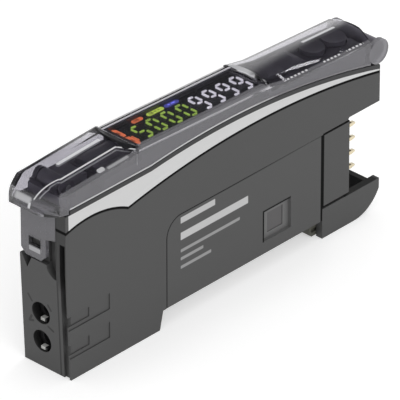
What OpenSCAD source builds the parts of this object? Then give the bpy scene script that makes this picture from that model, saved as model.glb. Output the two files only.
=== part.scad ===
// Fibre optic sensor amplifier: a slim rail-mounted unit with a hinged smoked cover over its
// display and buttons, two fibre holes in its front and a pin connector at its rear.
// X runs from the fibre end to the connector end, Y across the unit, Z up from the foot.

/* [Case] */
// Width of the unit along the rail
unit_w = 10; // [9.6:0.1:12]
// Length of the case from the foot's front edge to its rear face
case_len = 71.1; // [70:0.1:74]
// Wall of the case
case_wall = 1.1; // [0.9:0.05:1.3]
// Depth of the near half of the case, from the side face to the parting line
near_depth = 2.25; // [1.8:0.05:2.5]
// How far the front face leans out towards the top
front_lean = 0.8; // [0.4:0.1:1]
// Height at which the lean ends
lean_h = 19.5; // [18:0.1:21]
// Underside of the rear overhang
over_z = 19.9; // [19.7:0.1:20.5]

/* [Rail] */
// Length of the front foot along its sole
foot_len = 20; // [18:0.1:21]
// Slope of the foot's rear face
foot_rake = 0.75; // [0.4:0.05:1]
// Depth of the rail recess
foot_h = 3.3; // [3:0.1:3.8]
// Width of the rail recess, between the foot and the hook
rail_slot = 35.5; // [35.2:0.1:36]
// Reach of the fixed claw and of the hook under the rail's flange
claw = 1; // [0.6:0.1:1.2]
// Room for the rail's flange above the claws
flange_room = 1.3; // [1.1:0.1:1.5]
// Travel of the rail hook
hook_travel = 1.2; // [0.8:0.1:1.4]

/* [Tray] */
// Length of the rear tray
tray_len = 13.55; // [13:0.05:14.5]
// Height of the tray's walls
tray_h = 5.5; // [5.2:0.1:6]
// Thickness of the tray's side walls
tray_wall = 1.3; // [1.1:0.1:1.5]
// Setback of the tray's cross wall from its rear end
tray_back = 1.4; // [1:0.1:2]

/* [Ledge] */
// Height of the ledge under the cover at its crest
ledge_h = 31.45; // [31:0.05:32.5]
// Distance of the ledge's crest from the front
ledge_x = 34; // [32:0.5:36]
// Radius of the arched ledge
ledge_r = 144; // [130:1:170]
// Drop of the flat front ledge below the crest
front_drop = 0.87; // [0.7:0.01:1.1]
// Thickness of the deck's flange
flange_t = 0.7; // [0.5:0.05:0.9]

/* [Trim] */
// Depth of the inlaid stripe
stripe_t = 0.5; // [0.3:0.05:0.6]
// Distance of the stripe's upper edge below the case's top edge
stripe_gap = 0.05; // [0.05:0.05:0.3]
// Radius of the stripe's long lower edge
stripe_r = 145; // [120:1:180]
// Crest of the stripe's long lower edge, below the ledge's crest
stripe_drop = 2.85; // [2.5:0.05:3.2]
// Radius of the stripe's front lower edge
swoosh_r = 17.9; // [15:0.1:20]
// Crest of the stripe's front lower edge, below the front ledge
swoosh_drop = 2.7; // [2.4:0.05:3]

/* [Label] */
// Length of the label field
label_len = 36.2; // [34:0.1:36.2]
// Height of the label field
label_h = 16; // [14:0.1:16]
// Corner radius of the label field
label_r = 3.4; // [2:0.1:5]
// Thickness of the label
label_t = 0.25; // [0.15:0.05:0.35]

/* [Optical window] */
// Width of the communication window's recess
comm_w = 6.25; // [5.5:0.05:6.5]
// Height of the recess
comm_h = 5.45; // [5:0.05:5.6]
// Width of the clear window
comm_clear = 3.6; // [3:0.1:4]
// Distance of the window's centre from the bulkhead
comm_back = 10.6; // [9:0.1:14]
// Height of the window's centre above the rail recess
comm_up = 5; // [4.8:0.1:6]

/* [Cover] */
// Wall of the hinged cover
cover_wall = 0.75; // [0.6:0.05:0.85]
// Gap between the cover and the ledge
cover_gap = 0.15; // [0.1:0.05:0.25]
// Height of the flat top over the middle of the display, above the ledge's crest
display_rise = 2.72; // [2.6:0.02:3]
// Slope of the flat top
display_tilt = 2.4; // [2:0.1:2.8]
// Height of the front hump's edges at its rear end, above the ledge's crest
front_rise = 3.3; // [3.2:0.05:3.6]
// Height of the rear hump's edges at its front end, above the ledge's crest
rear_rise = 1.33; // [1.2:0.01:1.5]
// Slope of the front hump
front_tilt = 2.5; // [2:0.1:3]
// Slope of the rear hump
rear_tilt = 2.85; // [2.6:0.05:3.1]
// Radius of the crowned top
crown_r = 12; // [10:0.1:14]
// Distance of the crease from the middle of the unit
crease = 2.4; // [2:0.1:2.8]
// Slope of the front hump's near flank
front_flank = 26; // [22:1:28]
// Slope of the rear hump's near flank
rear_flank = 19; // [18:1:24]
// Slope of the ramp at the rear end of the front hump
ramp = 25; // [20:1:32]
// Height of the lip at the front end of the rear hump
rear_lip = 0.65; // [0.3:0.05:0.8]
// Width of the slanted far edge of the flat top
far_edge = 0.9; // [0.5:0.1:1.1]
// Slope of the slanted far edge
far_slant = 26; // [20:1:30]
// Slant of the rear hump's near rear corner
rear_slant = 1; // [0.5:0.1:1.4]
// Overhang of the nose in front of the case
nose_out = 3.6; // [3.2:0.05:4]
// Radius of the nose seen from the side
nose_r = 6.4; // [5.6:0.1:7]
// Radius of the nose's near corner seen from above
nose_corner = 4.4; // [3.5:0.1:4.6]
// Radius of the nose's far corner seen from above
nose_far = 1; // [0.9:0.1:2]
// Width of the latch tongue
tongue_w = 5.3; // [4.8:0.1:5.6]
// Height of the tongue's lower edge
tongue_z = 19.8; // [19.6:0.1:20.4]
// Height of the front wall's lower edge beside the tongue
apron_z = 24.6; // [24:0.1:25.5]

/* [Hinge] */
// Distance of the hinge axis in front of the case's rear face
hinge_in = 0.3; // [0.2:0.1:0.8]
// Radius of the hinge lobes
lobe_r = 2.2; // [2:0.05:2.25]
// Radius of the hinge pegs
peg_r = 0.9; // [0.7:0.05:1]
// Running clearance of pegs and pins
run_gap = 0.05; // [0.03:0.01:0.08]

/* [Display] */
// Front edge of the display window
display_x = 17.4; // [17.2:0.1:18]
// Length of the display window
display_len = 28; // [27.8:0.1:28.4]
// Thickness of the display window
window_t = 0.5; // [0.4:0.05:0.6]
// Width of a digit between the middles of its strokes
digit_w = 1.6; // [1.4:0.05:1.65]
// Height of a digit between the middles of its strokes
digit_h = 4.1; // [3.7:0.1:4.3]
// Width of a stroke
stroke_w = 0.4; // [0.3:0.02:0.44]

/* [Buttons] */
// Travel of the push buttons
button_travel = 0.35; // [0.2:0.05:0.4]
// Gap round the buttons
button_gap = 0.2; // [0.15:0.05:0.3]
// Length of the tuning button
tune_len = 7.6; // [7:0.1:8]
// Width of the tuning button and the rocker
key_w = 4.4; // [4:0.1:4.8]
// Length of the up and down rocker
rocker_len = 9.6; // [9:0.1:10]
// Tilt of the rocker each way
rocker_tilt = 3; // [2:0.5:3]
// Radius of the two round buttons
round_r = 2.1; // [1.9:0.05:2.2]

/* [Fibres] */
// Radius of the fibre bores in front of the clamp
fibre_r = 1.2; // [1.18:0.01:1.25]
// Distance between the two fibre bores
fibre_pitch = 5.2; // [5:0.1:5.6]
// Height of the lower fibre bore
fibre_z = 4.8; // [4.7:0.1:5.2]
// Radius of the fibre holes in the front wall
hole_r = 1.9; // [1.8:0.05:2.1]
// Length of the fibre bores
fibre_len = 8.2; // [7:0.1:9]
// Lift of the fibre clamp when the lever is raised
clamp_lift = 0.4; // [0.2:0.05:0.45]

/* [Connector] */
// Length of the connector block
block_len = 6.4; // [6:0.1:6.8]
// Distance from pin to pin
pin_pitch = 2.6; // [2.5:0.05:2.7]
// Thickness of a pin
pin_t = 0.64; // [0.5:0.02:0.7]
// Reach of the pins behind the block
pin_out = 3.8; // [3.4:0.1:4.5]
// Distance of the pins from the near side
pin_in = 2.6; // [2.4:0.1:3]

/* [Hidden] */
$fn = 48;
arc_fn = 720;
eps = 0.01;
seat_gap = 0.05;
far_out = 60;

half_w = unit_w / 2;
part_y = -half_w + near_depth;
near_in = -half_w + case_wall;
far_in = half_w - case_wall;

slot_x = foot_len + foot_rake;
hook_x = slot_x + rail_slot;
hook_gap = 1.45;
tray_x = hook_x + hook_gap;
tray_end = tray_x + tray_len;
cross_x = tray_end - tray_back;
cross_t = 1;
block_top = over_z - 0.6;
block_gap = 0.2;
floor_z = foot_h + case_wall;
case_rear = case_len;

front_ledge = ledge_h - front_drop;
function arch_at(x) = ledge_h - ledge_r + sqrt(ledge_r * ledge_r - (x - ledge_x) * (x - ledge_x));
function ledge_at(x) = x < ledge_x ? max(front_ledge, arch_at(x)) : arch_at(x);

front_set = 0.1;
stripe_x = -0.2;
front_in = front_set + case_wall + 0.2;
hinge_x = case_rear - hinge_in;
hinge_z = ledge_at(hinge_x) + cover_gap + lobe_r + 0.05;
nose_x = -nose_out;

window_end = display_x + display_len;
display_mid = display_x + display_len / 2;
display_top = ledge_h + display_rise;
window_in = cover_wall + 0.2;
function window_at(x) = display_top - window_in - (x - display_mid) * tan(display_tilt);
hump_end = display_x - 1.3;
rear_start = window_end - 0.8;
rear_end = hinge_x - 0.95;
front_edge = ledge_h + front_rise;
rear_edge = ledge_h + rear_rise;
crown_z = -sqrt(crown_r * crown_r - half_w * half_w);
crease_z = crown_z + sqrt(crown_r * crown_r - crease * crease);
nose_z = front_ledge - 0.55;
nose_mid = nose_x + nose_r;
nose_top = front_edge - (hump_end - nose_mid) * tan(front_tilt) + crown_r + crown_z + 0.12;
nose_lift = max(0, nose_z - nose_top + nose_r);
nose_tip = nose_mid - sqrt(nose_r * nose_r - nose_lift * nose_lift);
mid_x = (nose_tip + hinge_x + lobe_r) / 2;
cover_side = half_w + 1;
peg_len = 1.5;

deck_half = half_w - cover_wall - 0.25;
deck_wall = 0.8;
rear_deck = rear_edge - 1;
function rear_deck_at(x) = rear_deck - (x - rear_start) * tan(rear_tilt);
front_deck = front_ledge + 1.75;
bay_end = display_x - tune_len - 1.6;

board_t = 0.8;
board_top = ledge_at(case_rear) - flange_t + 0.05;
board_z = board_top - board_t;
main_y = -half_w + pin_in;
switch_h = 1.3;
plunger_h = 0.35;
switch_top = board_top + switch_h + plunger_h;

key_y = 0.3;
tune_x = display_x - 0.9 - tune_len / 2;
rocker_x = window_end + 1.8 + rocker_len / 2;
round_xs = [rocker_x + rocker_len / 2 + 3.7, rocker_x + rocker_len / 2 + 8.7];
rocker_legs = [-3.1, 3.1];

fibre_y = (part_y + half_w) / 2 - 0.15;
fibre_zs = [fibre_z, fibre_z + fibre_pitch];
bore_x = front_in;
bore_end = bore_x + fibre_len;
tip_r = fibre_r - 0.08;
head_end = bore_end + 1.3;
clamp_x = bore_x + 3;
clamp_t = 1.5;
clamp_half = fibre_r + 0.35;

lever_x = 2.7;
lever_z = front_ledge + cover_gap + 1.4;
knuckle_r = 1.35;
lever_pin_r = 0.6;
lever_y0 = -1.2;
lever_y1 = 3.2;
ear_t = 0.7;

comm_x = tray_x - comm_back;
comm_z = foot_h + comm_up;
pin_zs = [for (i = [0:3]) (tray_h + block_top) / 2 + (i - 1.5) * pin_pitch];

case_grey = [0.30, 0.30, 0.30];
near_grey = [0.32, 0.32, 0.32];
deck_black = [0.11, 0.10, 0.13];
key_black = [0.16, 0.15, 0.18];
smoke = [0.35, 0.34, 0.38, 0.45];
pcb_green = [0.05, 0.28, 0.16];

// Helpers

// Puts the case's own X, counted from the foot's front edge, about the middle of the unit
module place() {
    translate([-mid_x, 0, 0]) children();
}

// Extrudes a side view, drawn in X and Z, from y0 to y1
module slab(y0, y1) {
    translate([0, y1, 0]) rotate([90, 0, 0]) linear_extrude(y1 - y0) children();
}

// Extrudes a front view, drawn in Y and Z, from x0 to x1
module along(x0, x1) {
    translate([x0, 0, 0]) rotate([90, 0, 90]) linear_extrude(x1 - x0) children();
}

// A box between two corners
module block(low, high) {
    translate(low) cube(high - low);
}

// A round rod along X or along Y
module rod_x(x0, x1, y, z, r) {
    translate([x0, y, z]) rotate([0, 90, 0]) cylinder(h = x1 - x0, r = r);
}
module rod_y(x, z, y0, y1, r) {
    translate([x, y1, z]) rotate([90, 0, 0]) cylinder(h = y1 - y0, r = r);
}

// A flat bar with round ends, from one point to another
module pill(a, b, w) {
    length = norm(b - a);
    translate(a) rotate(atan2(b[1] - a[1], b[0] - a[0])) {
        translate([0, -w / 2]) square([length, w]);
        circle(w / 2);
        translate([length, 0]) circle(w / 2);
    }
}

// Side views of the case

// Everything under the arched ledge, lowered by d
module below_ledge(d) {
    translate([ledge_x, ledge_h - ledge_r]) circle(ledge_r - d, $fn = arc_fn);
    translate([-20, -1]) square([20 + ledge_x, front_ledge - d + 1]);
}

// Outer side view of the case without the tray, up to the deck's flange
module case_view() {
    intersection() {
        polygon([[0, 0], [foot_len, 0], [slot_x, foot_h], [tray_x, foot_h],
            [tray_x, block_top + block_gap], [tray_x + block_len - 0.5, block_top + block_gap],
            [tray_x + block_len - 0.2, over_z], [case_rear, over_z], [case_rear, far_out],
            [-front_lean, far_out], [-front_lean, lean_h]]);
        below_ledge(flange_t);
    }
}

// Side view of the space inside the case, open at the top
module cavity_view() {
    polygon([[case_wall, case_wall], [foot_len - case_wall, case_wall], [slot_x - case_wall, floor_z],
        [tray_x - case_wall, floor_z], [tray_x - case_wall, over_z + case_wall],
        [case_rear - case_wall, over_z + case_wall], [case_rear - case_wall, far_out],
        [front_in, far_out], [front_in, lean_h]]);
}

// Side view of the tray's walls, round at the lower rear corner
module tray_view() {
    toe = 6;
    intersection() {
        translate([tray_x, 0]) square([tray_len, tray_h]);
        union() {
            translate([tray_x, 0]) square([tray_len - toe, tray_h]);
            translate([tray_end - toe, tray_h + 1.2]) circle(toe + 0.7);
        }
    }
    translate([tray_x - case_wall, foot_h]) square([case_wall + eps, tray_h - foot_h]);
}

// Side view of the trim stripe
module stripe_view(x0) {
    difference() {
        translate([x0, 0]) square([case_rear - 0.1 - x0, far_out]);
        translate([ledge_x + 7.5, ledge_h - stripe_drop - stripe_r]) circle(stripe_r, $fn = arc_fn);
        translate([4.6, front_ledge - swoosh_drop - swoosh_r]) circle(swoosh_r, $fn = arc_fn);
        translate([-far_out, 0]) square([2 * far_out, over_z]);
        difference() {
            translate([-far_out, 0]) square([3 * far_out, 2 * far_out]);
            below_ledge(flange_t + stripe_gap);
        }
    }
}

// Side view of the label field, one corner round
module label_view(gap) {
    low = [tray_x - label_len + gap, foot_h + gap];
    high = [tray_x - gap, foot_h + label_h - gap];
    r = label_r - gap;
    translate(low) square([high[0] - low[0], high[1] - low[1] - r]);
    translate([low[0] + r, low[1]]) square([high[0] - low[0] - r, high[1] - low[1]]);
    translate([low[0] + r, high[1] - r]) circle(r);
}

// A rectangle about the communication window, in X and Z
module comm_view(w, h) {
    translate([comm_x - w / 2, comm_z - h / 2]) square([w, h]);
}

// Case halves

module main_case() {
    color(case_grey) place() difference() {
        union() {
            difference() {
                slab(part_y, half_w) case_view();
                slab(part_y - eps, far_in) cavity_view();
            }
            slab(half_w - tray_wall, half_w) tray_view();
            block([cross_x - cross_t, -half_w + tray_wall, 0.9], [cross_x, half_w - tray_wall + eps, tray_h]);
            hook_rail(half_w - tray_wall - 0.5, half_w - tray_wall + eps);
            fixed_claw();
            for (x = [slot_x + 8, tray_x - 5]) board_post(x);
        }
        front_recess();
        slab(half_w - stripe_t, half_w + eps) stripe_view(stripe_x);
        slab(half_w - 0.4, half_w + eps) comm_view(comm_w, comm_h);
        slab(far_in - eps, half_w) comm_view(comm_clear, comm_clear);
        for (z = fibre_zs) rod_x(-2, front_in + 1, fibre_y, z, hole_r);
        for (z = pin_zs) pin_hole(z);
    }
}

// A guide rail of the rail hook on the tray's wall
module hook_rail(y0, y1) {
    block([tray_x + 1, y0, 1], [cross_x - cross_t + eps, y1, 1.5]);
}

// The fixed claw of the foot under the rail's flange
module fixed_claw() {
    top = foot_h - flange_room;
    slab(part_y, far_in) polygon([[foot_len - 0.5, 0.4], [foot_len + 0.3, 0.4], [slot_x + claw, 1.2],
        [slot_x + claw, top], [foot_len - 0.5, top]]);
}

// A post that carries the main board
module board_post(x) {
    rod_y(x, board_z - 4, main_y + board_t / 2, far_in + eps, 1.1);
}

// The space in the front face for the cover's front wall, the finger scoop beside it and the
// nail notch under the tongue
module front_recess() {
    block([-far_out, part_y - eps, tongue_z - 0.2], [front_set, half_w + eps, far_out]);
    along(-far_out, front_set + 0.5) intersection() {
        translate([part_y - eps, tongue_z - 2.2]) square([2.2, apron_z - tongue_z + 2.2]);
        union() {
            translate([part_y - 1, tongue_z]) square([far_out, far_out]);
            translate([part_y - 0.25, tongue_z]) circle(2.3);
        }
    }
    notch_y = half_w - 1.5;
    along(-far_out, front_set + 0.5) polygon([[notch_y + 1.15, tongue_z], [notch_y - 1.1, tongue_z],
        [notch_y, tongue_z - 2.3]]);
}

// The hole of a pin through the bulkhead
module pin_hole(z) {
    w = pin_t / 2 + seat_gap;
    block([tray_x - case_wall - eps, main_y - w, z - w], [tray_x + eps, main_y + w, z + w]);
}

module side_cover() {
    color(near_grey) place() difference() {
        union() {
            slab(-half_w, near_in) case_view();
            slab(near_in - eps, part_y) difference() {
                case_view();
                cavity_view();
            }
            slab(-half_w, -half_w + tray_wall) tray_view();
            hook_rail(-half_w + tray_wall - eps, -half_w + tray_wall + 0.5);
            for (x = [slot_x + 8, tray_x - 5]) board_pad(x);
        }
        slab(-half_w - eps, -half_w + stripe_t) stripe_view(stripe_x);
        slab(-half_w - eps, -half_w + label_t) label_view(0);
        slab(-half_w - eps, -half_w + 0.6) comm_view(comm_w, comm_h);
        slab(-half_w, near_in + eps) comm_view(comm_clear, comm_clear);
        front_groove();
        for (z = fibre_zs) fibre_mark(z);
        for (z = pin_zs) pin_hole(z);
    }
}

// A pad that holds the main board against its post
module board_pad(x) {
    rod_y(x, board_z - 4, near_in - eps, main_y - board_t / 2, 1.1);
}

// The upright groove in the front edge of the near half
module front_groove() {
    along(-far_out, 0.4) polygon([[-half_w + 0.3, -1], [-half_w + 0.3, lean_h + 5],
        [part_y - 0.85, lean_h + 5], [part_y - 0.85, -1]]);
}

// A shallow two-step relief beside a fibre hole that shows the fibre's place
module fibre_mark(z) {
    slab(-half_w - eps, -half_w + 0.15) translate([-2, z - 0.9]) square([10.75, 2.9]);
    slab(-half_w - eps, -half_w + 0.3) translate([-2, z - 0.2]) square([6.3, 1.7]);
}

module label_field() {
    color([0.34, 0.34, 0.34]) place() slab(-half_w, -half_w + label_t) difference() {
        label_view(seat_gap);
        comm_view(comm_w, comm_h);
    }
}

module trim_near() {
    color([0.87, 0.87, 0.87]) place() slab(-half_w, -half_w + stripe_t) stripe_view(stripe_x);
}

module trim_far() {
    color([0.87, 0.87, 0.87]) place() slab(half_w - stripe_t, half_w) stripe_view(front_set);
}

// A filter window: a plug in the clear hole and a flange on the inner face of the wall
module comm_window(y_out, y_in, y_flange) {
    plug = comm_clear - 2 * seat_gap;
    color([0.10, 0.06, 0.07]) place() {
        slab(min(y_out, y_in), max(y_out, y_in)) comm_view(plug, plug);
        slab(min(y_in, y_flange), max(y_in, y_flange)) comm_view(comm_clear + 1.2, comm_clear + 1.2);
    }
}

module comm_window_near() {
    comm_window(-half_w + 0.7, near_in, near_in + 0.4);
}

module comm_window_far() {
    comm_window(half_w - 0.5, far_in, far_in - 0.4);
}

// Control deck

// Side view of the raised deck, drawn d inside its outer faces
module deck_view(d) {
    tail = hinge_x - 2.6;
    difference() {
        polygon([[0.3 + d, 0], [0.3 + d, front_deck - 0.05 - d], [1 - d, front_deck - 0.05 - d],
            [1 - d, front_ledge], [bay_end + d, front_ledge], [bay_end + d, front_deck - d],
            [display_x - 0.6 + d, front_deck - d],
            [display_x - 0.6 + d, window_at(display_x - 0.6) - d],
            [window_end + 0.6 - d, window_at(window_end + 0.6) - d],
            [window_end + 0.6 - d, rear_deck_at(window_end) - d], [tail - d, rear_deck_at(tail) - d],
            [tail - d, 0]]);
        below_ledge(flange_t);
    }
}

// Side view of the space under the raised deck
module under_deck_view() {
    d = deck_wall;
    tail = hinge_x - 2.6;
    polygon([[bay_end + d, 0], [bay_end + d, front_deck - d], [display_x - 0.6 + d, front_deck - d],
        [display_x - 0.6 + d, window_at(display_x) - window_t - d],
        [window_end + 0.6 - d, window_at(window_end) - window_t - d],
        [window_end + 0.6 - d, rear_deck_at(window_end) - d], [tail - d, rear_deck_at(tail) - d],
        [tail - d, 0]]);
}

module control_deck() {
    color(deck_black) place() difference() {
        union() {
            slab(-half_w, half_w) difference() {
                intersection() {
                    below_ledge(0);
                    translate([front_set + 0.05, 0]) square([case_rear - front_set - 0.05, far_out]);
                }
                below_ledge(flange_t);
            }
            difference() {
                slab(-deck_half, deck_half) deck_view(0);
                nose_corner_cut();
            }
            hinge_lug();
            for (y = [lever_y0 - button_gap - ear_t, lever_y1 + button_gap]) lever_ear(y);
            rocker_bearings();
        }
        slab(-deck_half + deck_wall, deck_half - deck_wall) difference() {
            under_deck_view();
            rocker_bearing_view();
        }
        rod_y(hinge_x, hinge_z, -far_out, far_out, peg_r + run_gap);
        rod_y(lever_x, lever_z, -far_out, far_out, lever_pin_r);
        clamp_slot();
        key_hole(tune_x, tune_len);
        key_hole(rocker_x, rocker_len);
        rod_y(rocker_x, rocker_axle_z, key_y - key_w / 2 - 1.6, key_y + key_w / 2 + 1.6, 0.6 + run_gap);
        for (x = round_xs) translate([x, key_y, 0]) cylinder(h = far_out, r = round_r + button_gap);
        window_seat();
    }
}

rocker_axle_z = rear_deck_at(rocker_x) - deck_wall - 0.5;

// Side view of the blocks that carry the rocker's axle
module rocker_bearing_view() {
    translate([rocker_x - 1.3, rocker_axle_z - 1.2]) square([2.6, far_out]);
}

// Blocks under the deck on both sides of the rocker
module rocker_bearings() {
    for (y = [key_y - key_w / 2 - 1.3, key_y + key_w / 2 + 0.4])
        slab(y, y + 0.9) intersection() {
            rocker_bearing_view();
            deck_view(0.1);
        }
}

// The near front corner of the deck gives room to the nose's round corner
module nose_corner_cut() {
    corner = [nose_x + nose_corner, -half_w + nose_corner];
    translate([0, 0, front_ledge]) linear_extrude(far_out) difference() {
        translate([nose_x, -half_w]) square(nose_corner);
        translate(corner) circle(nose_corner - cover_wall - 0.25);
    }
}

// The lug that carries the cover's pegs
module hinge_lug() {
    r = lobe_r - 0.4;
    slab(-deck_half, deck_half) difference() {
        union() {
            translate([hinge_x, hinge_z]) circle(r);
            translate([hinge_x - r - 0.6, hinge_z - 4]) square([r + 0.6, 4]);
        }
        below_ledge(flange_t);
    }
}

// One of the two ears that carry the lever's pin
module lever_ear(y) {
    slab(y, y + ear_t) {
        translate([lever_x, lever_z]) circle(knuckle_r);
        translate([lever_x - knuckle_r, front_ledge - eps]) square([2 * knuckle_r, lever_z - front_ledge]);
    }
}

// The slot in the deck for the head of the fibre clamp
module clamp_slot() {
    block([clamp_x - 0.2, fibre_y - clamp_half - 0.2, front_ledge - flange_t - 1],
        [clamp_x + clamp_t + 0.2, fibre_y + clamp_half + 0.2, front_ledge + 0.5]);
}

// The opening of a long key
module key_hole(x, length) {
    half = length / 2 + button_gap;
    block([x - half, key_y - key_w / 2 - button_gap, front_ledge - 2],
        [x + half, key_y + key_w / 2 + button_gap, far_out]);
}

// The seat of the display window and the opening under it
module window_seat() {
    half = display_len / 2;
    on_display() {
        block([-half, -seat_half, -window_t], [half, seat_half, window_t]);
        block([-half + end_ledge, -tile_half - seat_gap, module_top - tile_t - seat_gap],
            [half - end_ledge, tile_half + seat_gap, window_t]);
        block([-half + 0.8, -seat_half + 0.6, -5], [half - 0.8, seat_half - 0.6, window_t]);
    }
}

// Cover

// Puts a piece on the sloping display, its top at zero
module on_display() {
    translate([display_mid, 0, display_top]) rotate([0, display_tilt, 0])
        translate([0, 0, -window_in]) children();
}

// Cross section of a hump about its edges, drawn t inside the outer face and wider than the unit
module hump_section(t, flank) {
    intersection() {
        translate([0, crown_z]) circle(crown_r - t, $fn = 180);
        translate([-cover_side, -40]) square([2 * cover_side, 60]);
        translate([-crease, crease_z]) rotate(flank) translate([-40, -80 - t]) square([80, 80]);
    }
}

// The outer or inner form of the cover: the two humps and the flat top between them
module cover_form(t) {
    lap = t > 0 ? 0.9 : 0;
    back = t > 0 ? 6 : 0;
    intersection() {
        nose_plan(t);
        union() {
            intersection() {
                translate([hump_end, 0, front_edge]) rotate([0, -front_tilt, 0])
                    along(-40, 0.5) hump_section(t, front_flank);
                slab(-cover_side, cover_side) intersection() {
                    nose_view(t);
                    ramp_view(t);
                }
            }
            on_display() along(hump_end - display_mid - 0.6 - lap, rear_start - display_mid + 0.7 + lap)
                flat_section(t);
            translate([rear_start, 0, rear_edge]) rotate([0, rear_tilt, 0])
                along(t, rear_end - rear_start + back) hump_section(t, rear_flank);
            if (t == 0) rear_rim();
        }
    }
}

// Cross section of the flat top, its far edge slanted, drawn t inside the outer face
module flat_section(t) {
    top = window_in - t;
    edge = half_w - far_edge - t * tan(far_slant / 2);
    polygon([[-cover_side, -25], [cover_side, -25], [cover_side, top - (cover_side - edge) * tan(far_slant)],
        [edge, top], [-cover_side, top]]);
}

// The raised lip of the rear hump beside the display
module rear_rim() {
    translate([rear_start + 0.6, 0, rear_edge + rear_lip]) rotate([0, rear_tilt + 9, 0])
        along(0, 7) hump_section(0, rear_flank);
}

// The slanted near corner at the cover's rear end
module rear_corner() {
    translate([0, 0, ledge_h - 6]) linear_extrude(far_out) polygon([[rear_end + 1, -1],
        [rear_end + 0.15, -1], [rear_end - rear_slant, -half_w - 0.1], [rear_end + 1, -half_w - 0.1]]);
}

// The nose seen from above, its corners round
module nose_plan(t) {
    near = [nose_x + nose_corner, -half_w + nose_corner];
    far = [nose_x + nose_far, half_w - nose_far];
    linear_extrude(far_out) {
        translate([near[0], -half_w + t]) square([2 * far_out, unit_w - 2 * t]);
        translate([nose_x + t, near[1]]) square([far_out, far[1] - near[1]]);
        translate([far[0], far[1] - eps]) square([far_out, nose_far - t + eps]);
        translate(near) circle(nose_corner - t);
        translate(far) circle(nose_far - t);
    }
}

// The nose seen from the side
module nose_view(t) {
    translate([nose_mid, 0]) square([far_out, far_out]);
    translate([nose_x + t, 0]) square([far_out, nose_top - nose_r]);
    translate([nose_mid, nose_top - nose_r]) circle(nose_r - t);
}

// Everything under the slanted rear end of the front hump
module ramp_view(t) {
    foot = window_at(hump_end) + window_in - t / cos(ramp);
    run = 10;
    polygon([[-far_out, 0], [-far_out, foot + (hump_end + far_out) * tan(ramp)],
        [hump_end + run, foot - run * tan(ramp)], [hump_end + run, 0]]);
}

module cover() {
    color(smoke) place() difference() {
        union() {
            difference() {
                cover_form(0);
                rear_corner();
                difference() {
                    cover_form(cover_wall);
                    block([-far_out, -far_out, 0], [0, far_out, nose_z + cover_wall]);
                }
                slab(-far_out, far_out) cover_underside();
            }
            front_wall();
            for (side = [-1, 1]) hinge_lobe(side);
        }
        tongue_slot();
    }
}

// Everything under the cover's lower edge
module cover_underside() {
    translate([-far_out, -1]) square([far_out, nose_z + 1]);
    intersection() {
        below_ledge(-cover_gap);
        translate([0, -1]) square([case_rear + far_out, far_out]);
    }
}

// The front wall and the latch tongue below the nose
module front_wall() {
    right = half_w - 0.25;
    left = right - tongue_w;
    chamfer = 1;
    along(-cover_wall, 0) polygon([[part_y + 0.1, apron_z], [left, apron_z - 0.6],
        [left, tongue_z + chamfer], [left + chamfer, tongue_z], [right - chamfer, tongue_z],
        [right, tongue_z + chamfer], [right, nose_z + 0.4], [part_y + 0.1, nose_z + 0.4]]);
}

// The slot in the tongue for the catch
module tongue_slot() {
    middle = half_w - 3.2;
    block([-2, middle - 1.25, tongue_z + 2.1], [1, middle + 1.25, tongue_z + 3.6]);
}

// A round ear of the cover with the peg on its inner face
module hinge_lobe(side) {
    outer = side * half_w;
    inner = side * (half_w - cover_wall);
    root = inner + side * eps;
    tip = inner - side * peg_len;
    slab(min(outer, inner), max(outer, inner)) translate([hinge_x, hinge_z]) circle(lobe_r);
    rod_y(hinge_x, hinge_z, min(root, tip), max(root, tip), peg_r);
}

// Display

module display_window() {
    edge = seat_half - seat_gap;
    half = display_len / 2 - seat_gap;
    color([0.06, 0.06, 0.07, 0.6]) place() on_display() block([-half, -edge, -window_t], [half, edge, 0]);
}

digit_t = 0.15;
module_top = -window_t - digit_t;
seat_half = deck_half - 0.35;
end_ledge = 0.15;
tile_half = seat_half - 0.15;
tile_t = 0.3;
module_half = deck_half - deck_wall - 0.3;
module_low = -4.5;

// The display's body, with a wider tile on top that carries the digits and the lamps
module display_module() {
    color([0.05, 0.05, 0.06]) place() {
        on_display() {
            block([-display_len / 2 + 1, -module_half, module_low],
                [display_len / 2 - 1, module_half, module_top - eps]);
            block([-display_len / 2 + end_ledge + seat_gap, -tile_half, module_top - tile_t],
                [display_len / 2 - end_ledge - seat_gap, tile_half, module_top]);
        }
        for (x = [display_x + 2, window_end - 4]) block([x, -2, board_top], [x + 2, 2, window_at(x) - 3]);
    }
}

// One stroke of a seven-segment digit, clear of its neighbours
module stroke(a, b) {
    gap = stroke_w * 1.2;
    dir = (b - a) / norm(b - a);
    pill(a + dir * gap, b - dir * gap, stroke_w);
}

// A seven-segment digit; lit lists its strokes from the top, clockwise, and then the middle
module digit(lit, height) {
    w = digit_w * unit / 2;
    h = height / 2;
    ends = [[[-w, h], [w, h]], [[w, h], [w, 0]], [[w, 0], [w, -h]], [[w, -h], [-w, -h]],
        [[-w, -h], [-w, 0]], [[-w, 0], [-w, h]], [[-w, 0], [w, 0]]];
    for (i = lit) stroke(ends[i][0], ends[i][1]);
}

// A row of digits on the display module
module digit_row(x, y, pitch, height, row) {
    place() on_display() for (i = [0:len(row) - 1])
        translate([x * unit + i * pitch * unit - display_len / 2, y, module_top])
            linear_extrude(digit_t) digit(row[i], height);
}

zero = [0, 1, 2, 3, 4, 5];
five = [0, 2, 3, 5, 6];
nine = [0, 1, 2, 3, 5, 6];
unit = display_len / 28;

module digits_green() {
    color([0.60, 0.75, 0.25]) digit_row(4.09, 0.09, 3.315, digit_h * 0.9, [five, zero, zero, zero]);
}

module digits_white() {
    color([0.93, 0.92, 0.95]) digit_row(17.35, 0.23, 3.135, digit_h, [nine, nine, nine, nine]);
}

// A lamp of the display with round ends
module lamp(x0, y0, x1, y1, w) {
    place() on_display() translate([-display_len / 2, 0, module_top]) linear_extrude(digit_t)
        pill([x0 * unit, y0], [x1 * unit, y1], w);
}

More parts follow.
